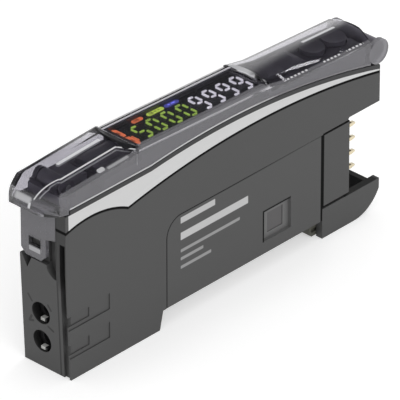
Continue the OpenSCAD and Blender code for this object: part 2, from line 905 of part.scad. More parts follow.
lamp_w = 0.8;
lamp_y = tile_half - lamp_w / 2;
front_lamp_w = 1.2;
front_lamp_x = end_ledge + seat_gap + 0.05 + front_lamp_w / 2;
bar_x = front_lamp_x + front_lamp_w / 2 + 0.3;

module lamps_orange() {
    color([0.90, 0.42, 0.25]) {
        lamp(front_lamp_x, lamp_y - 0.2, front_lamp_x, lamp_y - 1.85, front_lamp_w);
        lamp(front_lamp_x, lamp_y - 3.15, front_lamp_x, lamp_y - 5, front_lamp_w);
        lamp(bar_x, lamp_y - 3.1, bar_x, lamp_y - 4.6, lamp_w * 0.3);
        lamp(5.4, lamp_y, 6.9, lamp_y, lamp_w);
    }
}

module lamp_lime() {
    color([0.70, 0.82, 0.25]) lamp(8.8, lamp_y, 11.65, lamp_y, lamp_w);
}

module lamp_blue() {
    color([0.32, 0.32, 0.78]) lamp(12.75, lamp_y, 15.05, lamp_y, lamp_w);
}

// Fibre lock

module lock_lever() {
    tip = bay_end - 0.4;
    low = front_ledge + cover_gap + 0.05;
    color(key_black) place() slab(lever_y0, lever_y1) difference() {
        union() {
            translate([lever_x, lever_z]) circle(knuckle_r);
            translate([lever_x, low]) square([tip - lever_x, 1.6]);
            translate([lever_x, lever_z]) square([tip - lever_x - 0.8, knuckle_r - 0.35]);
        }
        translate([lever_x, lever_z]) circle(lever_pin_r + run_gap);
    }
}

module lever_pin() {
    color([0.75, 0.75, 0.77]) place()
        rod_y(lever_x, lever_z, lever_y0 - button_gap - ear_t, lever_y1 + button_gap + ear_t, lever_pin_r);
}

// A plate with two slots that presses both fibres down in their bores
module fibre_clamp() {
    top = front_ledge - 0.05;
    bottom = fibre_z - fibre_r - 0.85;
    slot_half = fibre_r + 0.05;
    color([0.72, 0.72, 0.72]) place() difference() {
        block([clamp_x, fibre_y - clamp_half, bottom], [clamp_x + clamp_t, fibre_y + clamp_half, top]);
        for (z = fibre_zs) block([clamp_x - 1, fibre_y - slot_half, z - clamp_lift - slot_half],
            [clamp_x + clamp_t + 1, fibre_y + slot_half, z + fibre_r]);
    }
}

module fibre_head() {
    head_top = fibre_zs[1] + 2.6;
    pocket = 0.1;
    rest_w = 0.65;
    rest_top = fibre_r + 0.05;
    color([0.20, 0.20, 0.21]) place() difference() {
        union() {
            block([front_in, fibre_y - 2.2, case_wall], [head_end, far_in, head_top]);
            for (z = fibre_zs) block([0.2, fibre_y - rest_w, z - rest_top - 0.5],
                [front_in + eps, fibre_y + rest_w, z - rest_top]);
        }
        for (z = fibre_zs) {
            rod_x(bore_x - 1, clamp_x, fibre_y, z, fibre_r);
            rod_x(clamp_x, bore_end, fibre_y, z, tip_r);
            rod_x(bore_end - eps, head_end + 1, fibre_y, z, 0.8);
        }
        block([clamp_x - pocket, fibre_y - clamp_half - pocket, fibre_z - fibre_r - 1],
            [clamp_x + clamp_t + pocket, fibre_y + clamp_half + pocket, far_out]);
    }
}

// An optical package on the main board with its lens in the fibre head
module optic(z, tint) {
    color(tint) place() {
        block([head_end, main_y + board_t / 2, z - 1.5], [head_end + 2.6, fibre_y + 1.4, z + 1.5]);
        rod_x(head_end - 0.6, head_end + eps, fibre_y, z, 0.75);
    }
}

module emitter() {
    optic(fibre_zs[1], [0.80, 0.25, 0.20]);
}

module receiver() {
    optic(fibre_zs[0], [0.12, 0.12, 0.14]);
}

// Boards

module main_board() {
    color(pcb_green) place() block([head_end + 0.2, main_y - board_t / 2, floor_z + 0.1],
        [tray_x - case_wall - 0.2, main_y + board_t / 2, board_z]);
}

module board_chips() {
    face = main_y + board_t / 2;
    chips = [[6, 12, 7, 7], [17, 9, 5, 5], [24, 14, 6, 5], [7, 21, 4, 3], [30, 19, 5, 3]];
    color([0.09, 0.09, 0.10]) place() for (c = chips) translate([head_end + c[0], face, c[1]])
        block([0, 0, -c[3] / 2], [c[2], 1, c[3] / 2]);
}

module display_board() {
    side = deck_half - deck_wall - 0.2;
    color(pcb_green) place()
        block([bay_end, -side, board_z], [case_rear - case_wall - 0.3, side, board_top]);
}

// Tact switches under the tuning button, the rocker's legs and the round buttons
module tact_switches() {
    xs = concat([tune_x], [for (d = rocker_legs) rocker_x + d], round_xs);
    color([0.78, 0.78, 0.76]) place() for (x = xs) translate([x, key_y, board_top]) {
        translate([-1.4, -1.3, 0]) cube([2.8, 2.6, switch_h]);
        cylinder(h = switch_h + plunger_h, r = 0.7);
    }
}

module comm_emitter() {
    color([0.85, 0.80, 0.70]) place() slab(near_in + 0.4, main_y - board_t / 2) comm_view(2.2, 1.8);
}

module comm_receiver() {
    color([0.12, 0.10, 0.12]) place() slab(main_y + board_t / 2, far_in - 0.4) comm_view(2.2, 1.8);
}

// Buttons

stem_bottom = switch_top + 0.05 + button_travel;

// The cap of a long key, crowned across
module key_cap(x, length, top, collar_top) {
    intersection() {
        block([x - length / 2, key_y - key_w / 2, collar_top - 0.8],
            [x + length / 2, key_y + key_w / 2, top]);
        rod_x(x - length, x + length, key_y, top - 9, 9);
    }
}

module tune_button() {
    deck_under = front_deck - deck_wall;
    collar = 0.5;
    color(key_black) place() {
        key_cap(tune_x, tune_len, front_deck + 0.9, deck_under);
        block([tune_x - tune_len / 2 + collar, key_y - key_w / 2 - collar, deck_under - 0.85],
            [tune_x + tune_len / 2 - collar, key_y + key_w / 2 + collar, deck_under - 0.05]);
        translate([tune_x, key_y, stem_bottom]) cylinder(h = deck_under - 0.8 - stem_bottom, r = 1);
    }
}

module rocker() {
    half = rocker_len / 2;
    low = rocker_axle_z - 0.6;
    color(key_black) place() difference() {
        union() {
            translate([rocker_x, 0, rear_deck_at(rocker_x)]) rotate([0, rear_tilt, 0]) intersection() {
                slab(key_y - key_w / 2, key_y + key_w / 2) polygon([[-half, -deck_wall - 1],
                    [half, -deck_wall - 1], [half, 0.4], [half - 1.4, 0.9], [0, 0.55], [1.4 - half, 0.9],
                    [-half, 0.4]]);
                rod_x(-half, half, key_y, 0.9 - 9, 9);
            }
            for (d = rocker_legs) translate([rocker_x + d, key_y, switch_top + 0.25])
                cylinder(h = low + 0.3 - switch_top, r = 0.8);
        }
        rod_y(rocker_x, rocker_axle_z, -far_out, far_out, 0.6);
    }
}

module rocker_axle() {
    color([0.75, 0.75, 0.77]) place()
        rod_y(rocker_x, rocker_axle_z, key_y - key_w / 2 - 1.2, key_y + key_w / 2 + 1.2, 0.6);
}

// A round button with a dished top and two lugs under the deck
module round_button(x) {
    top = rear_deck_at(x) + 0.9;
    under = rear_deck_at(x) - deck_wall - 0.35;
    color(key_black) place() difference() {
        translate([x, key_y, 0]) {
            translate([0, 0, under - 0.7]) cylinder(h = top - under + 0.7, r = round_r);
            intersection() {
                translate([0, 0, under - 0.7]) cylinder(h = 0.6, r = round_r + 0.45);
                block([0.3 - round_r, -far_out, 0], [round_r - 0.3, far_out, far_out]);
            }
            translate([0, 0, stem_bottom]) cylinder(h = under - 0.65 - stem_bottom, r = 1);
        }
        translate([x, key_y, top + 5.6]) sphere(6);
    }
}

module round_button_front() {
    round_button(round_xs[0]);
}

module round_button_rear() {
    round_button(round_xs[1]);
}

// Connector and rail hook

module connector_block() {
    side = half_w - seat_gap;
    color([0.31, 0.31, 0.31]) place() difference() {
        block([tray_x, -side, tray_h + block_gap], [tray_x + block_len, side, block_top]);
        for (z = pin_zs) block([tray_x - 1, main_y - pin_t / 2, z - pin_t / 2],
            [tray_x + block_len + 1, main_y + pin_t / 2, z + pin_t / 2]);
    }
}

// Four square pins with pointed tips
module connector_pins() {
    h = pin_t / 2;
    root = tray_x - case_wall - 0.2;
    end = tray_x + block_len + pin_out;
    color([0.88, 0.80, 0.50]) place() for (z = pin_zs) translate([0, main_y, z])
        slab(-h, h) polygon([[root, -h], [end - 0.8, -h], [end, -h * 0.4], [end, h * 0.4],
            [end - 0.8, h], [root, h]]);
}

hook_low = 0.2;
hook_top = foot_h - 0.2;
hook_end = cross_x - cross_t - hook_travel - 3.2;

module rail_hook() {
    side = half_w - tray_wall - 0.15;
    groove = 0.1;
    color([0.42, 0.42, 0.36]) place() difference() {
        slab(-side, side) polygon([[hook_x + 0.5, hook_low], [hook_end, hook_low], [hook_end, hook_top],
            [hook_x + claw, hook_top], [hook_x + claw, foot_h - flange_room], [hook_x, foot_h - flange_room],
            [hook_x, hook_low + 0.5]]);
        for (s = [-1, 1]) block([tray_x - 1, s > 0 ? side - 0.5 : -side - 1, 1 - groove],
            [hook_end + 1, s > 0 ? side + 1 : -side + 0.5, 1.5 + groove]);
        rod_x(hook_end - 1, hook_end + 1, 0, (hook_low + hook_top) / 2, 1.25);
    }
}

// A coil spring between the hook and the tray's cross wall
module rail_spring() {
    wire = 0.16;
    coil = 0.95;
    turns = 6;
    sides = 6;
    steps = 16 * turns;
    x0 = hook_end - 1 + wire;
    x1 = cross_x - cross_t - wire;
    z0 = (hook_low + hook_top) / 2;
    function ring(i) = [for (k = [0:sides - 1])
        let (turn = 360 * turns * i / steps, r = coil + wire * cos(360 * k / sides))
        [x0 + (x1 - x0) * i / steps + wire * sin(360 * k / sides), r * cos(turn), z0 + r * sin(turn)]];
    points = [for (i = [0:steps]) each ring(i)];
    skin = [for (i = [0:steps - 1], k = [0:sides - 1])
        let (a = i * sides + k, b = i * sides + (k + 1) % sides)
        each [[a, b, b + sides], [a, b + sides, a + sides]]];
    caps = [[for (k = [0:sides - 1]) sides - 1 - k], [for (k = [0:sides - 1]) steps * sides + k]];
    color([0.70, 0.70, 0.72]) place() polyhedron(points, concat(skin, caps));
}

main_case();
side_cover();
label_field();
trim_near();
trim_far();
comm_window_near();
comm_window_far();
control_deck();
cover();
display_window();
display_module();
digits_green();
digits_white();
lamps_orange();
lamp_lime();
lamp_blue();
lock_lever();
lever_pin();
fibre_clamp();
fibre_head();
emitter();
receiver();
main_board();
board_chips();
display_board();
tact_switches();
tune_button();
rocker();
rocker_axle();
round_button_front();
round_button_rear();
comm_emitter();
comm_receiver();
connector_block();
connector_pins();
rail_hook();
rail_spring();
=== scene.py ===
import math

import bpy
from mathutils import Matrix, Vector


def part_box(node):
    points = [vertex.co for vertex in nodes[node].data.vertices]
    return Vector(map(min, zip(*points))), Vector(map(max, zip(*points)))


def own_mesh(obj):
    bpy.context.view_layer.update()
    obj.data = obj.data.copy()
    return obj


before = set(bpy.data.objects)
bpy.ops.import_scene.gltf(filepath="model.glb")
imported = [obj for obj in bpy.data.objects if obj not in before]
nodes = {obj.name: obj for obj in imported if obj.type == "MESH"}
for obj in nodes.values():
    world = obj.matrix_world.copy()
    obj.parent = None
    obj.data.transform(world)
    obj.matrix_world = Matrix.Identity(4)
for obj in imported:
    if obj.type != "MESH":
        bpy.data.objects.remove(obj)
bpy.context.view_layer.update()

MM = 0.001
MID_X = 34.743311  # mm from the foot's front edge to the frame's zero


def spot(x, y, z):
    """A point given in mm from the foot's front edge, in the frame's metres."""
    return Vector((x - MID_X, y, z)) * MM


def corners(name):
    """A node's low and high corners in mm from the foot's front edge."""
    return [Vector(corner) / MM + Vector((MID_X, 0, 0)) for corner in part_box(name)]


class Wire:
    """A socket of a shader tree. Arithmetic on it adds Math nodes."""

    def __init__(self, tree, socket=None):
        self.tree = tree
        self.socket = socket

    def add(self, kind, settings=(), sockets=(), out=0):
        """A new node: its settings come first, then the values or links of its sockets."""
        node = self.tree.nodes.new(kind)
        for name, value in dict(settings).items():
            setattr(node, name, value)
        for name, value in dict(sockets).items():
            if isinstance(value, Wire):
                self.tree.links.new(value.socket, node.inputs[name])
            else:
                node.inputs[name].default_value = value
        return Wire(self.tree, node.outputs[out] if len(node.outputs) else None)

    def math(self, operation, *values):
        return self.add("ShaderNodeMath", {"operation": operation}, enumerate(values))

    def __add__(self, other):
        return self.math("ADD", self, other)

    def __radd__(self, other):
        return self.math("ADD", other, self)

    def __sub__(self, other):
        return self.math("SUBTRACT", self, other)

    def __rsub__(self, other):
        return self.math("SUBTRACT", other, self)

    def __mul__(self, other):
        return self.math("MULTIPLY", self, other)

    def __rmul__(self, other):
        return self.math("MULTIPLY", other, self)

    def __truediv__(self, other):
        return self.math("DIVIDE", self, other)

    def __pow__(self, other):
        return self.math("POWER", self, other)

    def __abs__(self):
        return self.math("ABSOLUTE", self)

    def over(self, other):
        """The larger of the two."""
        return self.math("MAXIMUM", self, other)

    def under(self, other):
        """The smaller of the two."""
        return self.math("MINIMUM", self, other)

    def step(self, low, high):
        """0 below low, 1 above high, smooth between."""
        return self.add("ShaderNodeMapRange", {"interpolation_type": "SMOOTHSTEP"},
                        {"Value": self, "From Min": low, "From Max": high})

    def band(self, low, high, soft):
        """1 between low and high, 0 outside."""
        return self.step(low - soft, low + soft) * (1 - self.step(high - soft, high + soft))

    def ticks(self, pitch):
        """0 in the first part of each pitch, 1 in the rest."""
        return self.math("FRACT", self / pitch).step(0.4, 0.5)

    def blend(self, dark, light):
        """A colour from dark at 0 to light at 1."""
        return self.add("ShaderNodeMix", {"data_type": "RGBA"}, {0: self, 6: dark, 7: light}, 2)


# Shapes to paint with

def span(a, b):
    """The diagonal of a and b."""
    return (a * a + b * b) ** 0.5


def round_box(u, v, low, high, r):
    """Distance from the edge of a rectangle with round corners; negative inside."""
    du = abs(u - (low[0] + high[0]) / 2) - ((high[0] - low[0]) / 2 - r)
    dv = abs(v - (low[1] + high[1]) / 2) - ((high[1] - low[1]) / 2 - r)
    return span(du.over(0), dv.over(0)) + du.over(dv).under(0) - r


def patch(u, v, low, high, r, soft=0.05):
    """1 in a rectangle with round corners, 0 outside."""
    return 1 - round_box(u, v, low, high, r).step(-soft, soft)


def disc(u, v, middle, r, soft=0.05):
    """1 in a circle, 0 outside."""
    return 1 - span(u - middle[0], v - middle[1]).step(r - soft, r + soft)


def stroke(u, v, a, b, half):
    """1 on a line from a to b, 0 off it."""
    soft = 0.05
    du, dv = b[0] - a[0], b[1] - a[1]
    along = (((u - a[0]) * du + (v - a[1]) * dv) / (du * du + dv * dv)).over(0).under(1)
    return 1 - span(u - a[0] - along * du, v - a[1] - along * dv).step(half - soft, half + soft)


# Kinds of finish

def colour(r, g, b):
    return (r, g, b, 1.0)


def grey(tone):
    return colour(tone, tone, tone)


def shaded(c, share):
    return colour(*(part * share for part in c[:3]))


case_tone = grey(0.062)
shadow_tone = grey(0.014)


def blank(name):
    """A material with an empty tree, a wire to build it with, and its place in the case in mm."""
    material = bpy.data.materials.new(name)
    material.use_nodes = True
    material.node_tree.nodes.clear()
    w = Wire(material.node_tree)
    place = w.add("ShaderNodeTexCoord", out="Object")
    axes = w.add("ShaderNodeSeparateXYZ", (), {0: place}).socket.node.outputs
    x, y, z = (Wire(w.tree, axis) / MM for axis in axes)
    return material, w, place, x + MID_X, y, z


def noise(place, per_mm, detail):
    """Cloudy values from 0 to 1, about per_mm blotches to the millimetre."""
    return place.add("ShaderNodeTexNoise", (), {"Vector": place, "Scale": per_mm / MM, "Detail": detail})


def bumped(place, height, depth=0.004):
    """A normal that follows height, depth mm deep."""
    return place.add("ShaderNodeBump", (), {"Height": height, "Distance": depth * MM, "Strength": 1.0})


def close(w, shader):
    w.add("ShaderNodeOutputMaterial", (), {"Surface": shader})


def moulded(name, tone, rough=0.5, mottle=0.06, paint=None):
    """Moulded plastic: a fine eroded grain, faint flow clouds and a slightly uneven sheen.
    paint, if given, turns the base colour into a painted one and says where a painted shadow line lies, drawn
    with a near-black shader without gloss."""
    material, w, place, x, y, z = blank(name)
    fine = noise(place, per_mm=5, detail=2)
    cloud = noise(place, per_mm=0.12, detail=3)
    base = (cloud * 0.7 + fine * 0.3).blend(shaded(tone, 1 - mottle), shaded(tone, 1 + mottle))
    line = None
    if paint:
        base, line = paint(base, x, y, z)
    skin = w.add("ShaderNodeBsdfPrincipled", (), {
        "Base Color": base, "Roughness": rough - 0.06 + fine * 0.08 + cloud * 0.04,
        "Specular IOR Level": 0.4, "Normal": bumped(place, fine)})
    # Painted shadow: on the painted lines a near-black shader without gloss takes the place of the plastic.
    if line:
        shadow_line_shader = w.add("ShaderNodeBsdfPrincipled", (), {
            "Base Color": shadow_tone, "Roughness": 0.9, "Specular IOR Level": 0.0})
        skin = w.add("ShaderNodeMixShader", (), {0: line, 1: skin, 2: shadow_line_shader})
    close(w, skin)
    return material


def metal(name, tone, rough, drawn):
    """Bright metal with drawing marks. drawn scales their pattern along each axis."""
    material, w, place, x, y, z = blank(name)
    marks = noise(w.add("ShaderNodeMapping", (), {"Vector": place, "Scale": drawn}), per_mm=4, detail=3)
    close(w, w.add("ShaderNodeBsdfPrincipled", (), {
        "Base Color": marks.blend(shaded(tone, 0.86), tone), "Roughness": rough - 0.08 + marks * 0.16,
        "Metallic": 1.0, "Normal": bumped(place, marks)}))
    return material


def lit(name, tone, strength, mark=None, ink=0.12):
    """A lit sign of the display: a milky window, with marks that have a share of its tone."""
    material, w, place, x, y, z = blank(name)
    cloud = noise(place, per_mm=1.1, detail=2)
    glow = cloud.blend(shaded(tone, 0.9), shaded(tone, 1.06))
    if mark:
        glow = mark(x, y).blend(glow, shaded(tone, ink))
    close(w, w.add("ShaderNodeBsdfPrincipled", (), {
        "Base Color": shaded(tone, 0.3), "Roughness": 0.5, "Emission Color": glow,
        "Emission Strength": strength}))
    return material


def clear(name, tint, rough, milk, milk_tone):
    """Clear moulded plastic that bends light, with a milky share where milk says so; milk's white paints
    highlights and print, and its dark paints shade and a near-black ramp.
    """
    material, w, place, x, y, z = blank(name)
    waves = noise(place, per_mm=0.25, detail=2)
    fine = noise(place, per_mm=3, detail=2)
    body = w.add("ShaderNodeBsdfPrincipled", (), {
        "Base Color": waves.blend(shaded(tint, 0.97), tint), "Roughness": rough, "IOR": 1.5,
        "Transmission Weight": 1.0, "Normal": bumped(place, waves)})
    share, white, dark = milk(x, y, z)
    # white paints highlights and print; dark paints shade and the near-black ramp.
    cloudy = white.blend(fine.blend(shaded(milk_tone, 0.9), milk_tone), colour(0.85, 0.85, 0.87))
    haze = w.add("ShaderNodeBsdfPrincipled", (), {
        "Base Color": dark.blend(cloudy, colour(0.02, 0.02, 0.022)), "Roughness": 0.5,
        "Specular IOR Level": 0.0})
    close(w, w.add("ShaderNodeMixShader", (), {0: share + fine * 0.005, 1: body, 2: haze}))
    return material


def smoked(name, tint, straight, rough):
    """A flat smoked pane: a tinted see-through body under its own gloss.
    straight is the share that it mirrors when looked at straight on."""
    material, w, place, x, y, z = blank(name)
    fine = noise(place, per_mm=3, detail=2)
    body = w.add("ShaderNodeBsdfTransparent", (), {"Color": tint})
    gloss = w.add("ShaderNodeBsdfPrincipled", (), {
        "Base Color": colour(0.95, 0.95, 0.97), "Metallic": 1.0, "Roughness": rough + fine * 0.03})
    edge_on = w.add("ShaderNodeLayerWeight", (), {"Blend": 0.5}, "Facing")
    mirror = edge_on ** 5 * (1 - straight) + straight
    close(w, w.add("ShaderNodeMixShader", (), {0: mirror, 1: body, 2: gloss}))
    return material


# Paint on the case

TRAY_REAR = 70.7  # the rear wall of the rail hook's tray
TRAY_RIM = 5.6  # and its upper edge
NEAR_FACE = -4.9  # what lies nearer than this is the near face itself
FIBRE_Y = 0.97
FIBRE_HEIGHTS = (4.8, 10.0)
FIBRE_RADIUS = 1.945
# Painted shade: these strokes are painted dark on the front face for the shade in the cut strokes.
HOLE_STROKES = [  # the cut strokes round the upper fibre hole, from (y, z) to (y, z)
    ((3.58, 12.48), (2.86, 11.52)),
    ((-0.67, 12.11), (-1.21, 11.35)),
    ((3.58, 7.65), (3.06, 8.67)),
    ((3.58, 7.65), (2.73, 7.90)),
    ((-0.51, 8.09), (-1.54, 7.66)),
]
STRIPE_ARC, STRIPE_RADIUS = (41.5, -116.4), 145  # the long lower edge of the pale stripe
SCALLOP, SCALLOP_RADIUS = (4.6, 9.98), 17.9  # and its front scallop
RECESS_LOW, RECESS_HIGH = (43.97, 5.57), (50.23, 11.03)  # the optical window's recess, in x and z
# Painted light: the optical window's recess is painted this paler grey to take out the shade in it.
recess_lightened_tone = grey(0.15)


def far_paint(base, x, y, z):
    """Painted shade: the dark inside of the rear tray and of the fibre holes, and dark strokes for the cut
    strokes round the upper hole.
    """
    far_face = y.step(4.9, 4.95)
    # Painted shade inside the rear tray and the fibre holes and in the cut strokes.
    dark = x.band(57.8, TRAY_REAR, 0.05) * z.band(0.1, TRAY_RIM, 0.05) * (1 - far_face) * 0.95
    for height in FIBRE_HEIGHTS:
        dark = dark.over(disc(y, z, (FIBRE_Y, height), FIBRE_RADIUS, 0.025))
    front_face = 1 - x.step(0.2, 0.4)
    for a, b in HOLE_STROKES:
        dark = dark.over(stroke(y, z, a, b, 0.2) * front_face)
    return dark.blend(base, shadow_tone), None


def near_paint(base, x, y, z):
    """Painted shade: the shadow line under the stripe, the dark inside and rim of the rear tray and the
    shaded front edge; and painted light: the recess of the optical window painted paler."""
    below = STRIPE_RADIUS - span(x - STRIPE_ARC[0], z - STRIPE_ARC[1])
    below = below.over(SCALLOP_RADIUS - span(x - SCALLOP[0], z - SCALLOP[1]))
    inner = y.step(NEAR_FACE, NEAR_FACE + 0.05)
    # Painted shade inside and on the rim of the rear tray and on the front edge.
    tray = x.band(63, TRAY_REAR, 0.05) * (1 - z.step(TRAY_RIM, 5.7)) * z.step(5.42, 5.46).over(inner) * 0.95
    inset = y.step(-3.1, -3.05)
    upper = y.band(NEAR_FACE, -3.0, 0.05) * z.step(15, 18) * 0.85
    edge = inset.over(upper) * (1 - x.step(1.0, 1.2))
    # Painted light: the recess is painted paler to take out its shade.
    recess = x.band(43.9, 50.3, 0.02) * z.band(5.5, 11.1, 0.02) * y.step(-4.95, NEAR_FACE)
    base = recess.blend(base, recess_lightened_tone)
    return tray.over(edge).blend(base, shadow_tone), below.band(-0.05, 0.45, 0.08)


def block_paint(base, x, y, z):
    """The shadow lines round the connector block."""
    low, high = corners("connector_block")
    front = 1 - x.step(low.x + 0.3, low.x + 0.4)
    top = z.step(high.z - 0.3, high.z - 0.2)
    bottom = 1 - z.step(low.z + 0.2, low.z + 0.3)
    return base, front.over(top).over(bottom)


def deck_paint(base, x, y, z):
    """The flange under the cover's edge, in its shadow."""
    return (abs(y).step(4.5, 4.6) * 0.95).blend(base, shadow_tone), None


def label_paint(base, x, y, z):
    """Painted shadow lines along the label's rim, at its rear end and round the optical window's recess, the
    recess painted paler as painted light, and plain light bars.
    """
    corner, r = (24.9, 15.9), 3.4
    inside = r - span((corner[0] - x).over(0), (z - corner[1]).over(0))
    # Painted shadow lines: the rim, the rear end and the recess's front and top edges.
    rim = (1 - inside.step(0.12, 0.3)) * (1 - x.step(34, 57) * 0.9) * 0.8
    rear_end = x.step(57.2, 57.3)
    front_line = x.band(RECESS_LOW[0] - 0.32, RECESS_LOW[0], 0.04) * z.band(5.5, 11.3, 0.04)
    top_line = z.band(RECESS_HIGH[1], RECESS_HIGH[1] + 0.3, 0.04) * x.band(43.65, 50.2, 0.04) * 0.9
    # Painted light: the recess is painted paler.
    recess = x.band(RECESS_LOW[0], RECESS_HIGH[0], 0.01) * z.band(RECESS_LOW[1], RECESS_HIGH[1], 0.01)
    base = (recess * y.step(-4.99, -4.97)).blend(base, recess_lightened_tone)
    bar_start = 24.75
    for end, middle, high, share in [(32.6, 18.0, 1.1, 0.75),
                                     (40.2, 15.1, 1.35, 0.8),
                                     (38.3, 12.45, 0.55, 0.4),
                                     (29.9, 11.0, 0.55, 0.4),
                                     (31.7, 9.45, 0.55, 0.4)]:
        bar = patch(x, z, (bar_start, middle - high / 2), (end, middle + high / 2), 0.12, 0.06)
        base = (bar * share).blend(base, grey(0.72))
    return base, rim.over(front_line).over(top_line).over(rear_end)


def head_paint(base, x, y, z):
    """The light rests in the fibre holes."""
    rests = (1 - x.step(1.0, 1.1)) * y.step(0.7, 0.75)
    return rests.blend(base, colour(0.62, 0.62, 0.6)), None


# Milk on the clear cover

FLAT_TOP = (16.3, 44.9)  # the flat top over the display, along x
HINGE = (70.8, 29.13)  # the hinge lobes' middle, in x and z
TONGUE_SLOT_LOW, TONGUE_SLOT_HIGH = (0.53, 21.88), (3.07, 23.42)  # in y and z
CREASE_Y = -2.4
CREASE = [(-3.4, 0.1), (0.8, CREASE_Y), (12.9, CREASE_Y), (15.4, -4.2)]  # in x and y, from the nose back


def above_flat(x, z):
    """Height over the flat top, which falls towards the rear."""
    return z - (34.17 - (x - 31.4) * 0.0419)


def tongue_front(x):
    """1 on the latch tongue's front."""
    return 1 - x.step(0.5, 0.8)


def nose_front(x):
    """1 on the nose's front."""
    return 1 - x.step(-2.9, -2.4)


def cover_walls(x, y, z):
    """The milky side walls, the near border of the flat top and the hinge lobes, and a grey haze painted over
    bright lines of bent light at the flat top's near edge and on the tongue.
    """
    near = 0 - y
    middle = x.band(*FLAT_TOP, 0.2)
    near_wall = (near - 4.35 + middle * 0.9).step(-0.1, 0.1)
    far_wall = y.step(4.2, 4.4) * 0.3
    walls = near_wall.over(far_wall) * 0.45
    lobes = disc(x, z, HINGE, 2.3) * 0.7
    # A grey haze painted over the bright lines of bent light on the tongue and at the flat top's near edge.
    tongue = tongue_front(x) * (1 - z.step(29.2, 30)) * 0.5
    edge = middle * near.step(4.0, 4.15) * above_flat(x, z).step(-0.6, -0.4) * 0.55
    return walls.over(lobes).over(tongue).over(edge)


def cover_highlight_lines(x, y, z):
    """Painted highlights: the bright lower edge, the front face of the rear lip, the crease of the front
    hump, the glints of the nose and the bright foot of the tongue."""
    near = 0 - y
    bow = 31.45 - (x - 34) * (x - 34) / 287
    front_level = 30.58 - x.step(33, 35) * 10
    rise = z - bow.over(front_level) - 0.15
    # Painted highlights, in white.
    rim = rise.band(0.03, 0.3, 0.04) * x.step(0.1, 0.3) * near.step(4.6, 4.9) * (0.65 - x.step(40, 48) * 0.5)
    lip = x.band(45.0, 45.5, 0.05) * z.step(33.62, 33.7) * y.step(-2.6, 0.2) * 0.85
    crease = stroke(x, y, CREASE[0], CREASE[1], 0.12).over(stroke(x, y, CREASE[1], CREASE[2], 0.13))
    crease = crease.over(stroke(x, y, CREASE[2], CREASE[3], 0.1)) * z.step(31.8, 32.2) * 0.8
    wide_glint = nose_front(x) * y.band(0.2, 3.6, 0.4) * z.band(31.1, 32.2, 0.3) * 0.6
    small_glint = nose_front(x) * y.band(0.1, 0.6, 0.1) * z.band(30.5, 31.4, 0.1) * 0.8
    foot = tongue_front(x) * y.band(0.6, 3.0, 0.1) * z.band(20.9, 21.7, 0.1) * 0.35
    return rim.over(lip).over(crease).over(wide_glint).over(small_glint).over(foot)


def cover_bars(x, y, z):
    """Plain bars, a dot, a frosted spot and rows of ticks on the humps."""
    front_bar = patch(x, y, (3.2, 0.35), (12.6, 1.05), 0.2)
    rear_bar = patch(x, y, (59.4, 1.0), (67.0, 1.6), 0.2)
    outer = (z + x.step(40, 50) * 1.8).step(34.2, 34.4)
    bars = front_bar.over(rear_bar) * outer * 0.8
    dot = patch(x, y, (7.0, -4.6), (8.5, -3.9), 0.34) * z.step(33.6, 33.8) * 0.6
    frost = x.band(8.8, 13.6, 0.4) * y.band(-4.85, -4.2, 0.25) * 0.25
    rows = x.band(49.4, 54.6, 0.05).over(x.band(58.1, 62.1, 0.05)).over(x.band(63.6, 67.6, 0.05))
    ticks = x.ticks(0.85) * rows * y.band(-4.62, -4.3, 0.04) * 0.75
    return bars.over(dot).over(frost).over(ticks)


def cover_darks(x, y, z):
    """The ramp at the front hump's end, painted near black, and painted shade in the tongue's slot."""
    ramp = x.band(13.8, 16.25, 0.1) * above_flat(x, z).step(0.03, 0.1) * 0.85
    # Painted shade in the tongue's slot.
    slot = y.band(TONGUE_SLOT_LOW[0], TONGUE_SLOT_HIGH[0], 0.01)
    slot = slot * z.band(TONGUE_SLOT_LOW[1], TONGUE_SLOT_HIGH[1], 0.01) * tongue_front(x) * 0.9
    return ramp.over(slot)


def cover_milk(x, y, z):
    """How milky the cover is at a place, how white it is painted there for highlights and print, and how dark
    it is painted.
    """
    white = cover_highlight_lines(x, y, z).over(cover_bars(x, y, z))
    dark = cover_darks(x, y, z)
    return cover_walls(x, y, z).over(white).over(dark), white.step(0.1, 0.3), dark.step(0.1, 0.3)


# Marks on the lamps

def orange_marks(x, y):
    """The gap between the two front lamps, and a short mark in each lamp."""
    gap = y.band(0.45, 0.75, 0.05) * (1 - x.step(19.0, 19.1))
    front_marks = x.band(18.0, 18.4, 0.06) * y.band(1.6, 2.5, 0.06).over(y.band(-1.5, -0.6, 0.06)) * 0.8
    rear_mark = x.band(23.1, 23.9, 0.06) * y.band(2.95, 3.25, 0.05) * 0.7
    return gap.over(front_marks).over(rear_mark)


def lime_marks(x, y):
    return x.ticks(0.75) * x.band(26.2, 28.9, 0.05) * y.band(2.9, 3.3, 0.05) * 0.8


def blue_marks(x, y):
    return x.band(30.4, 30.8, 0.06).over(x.band(31.2, 32.0, 0.06)) * y.band(2.95, 3.25, 0.05)


# Finishes and the pieces that wear them

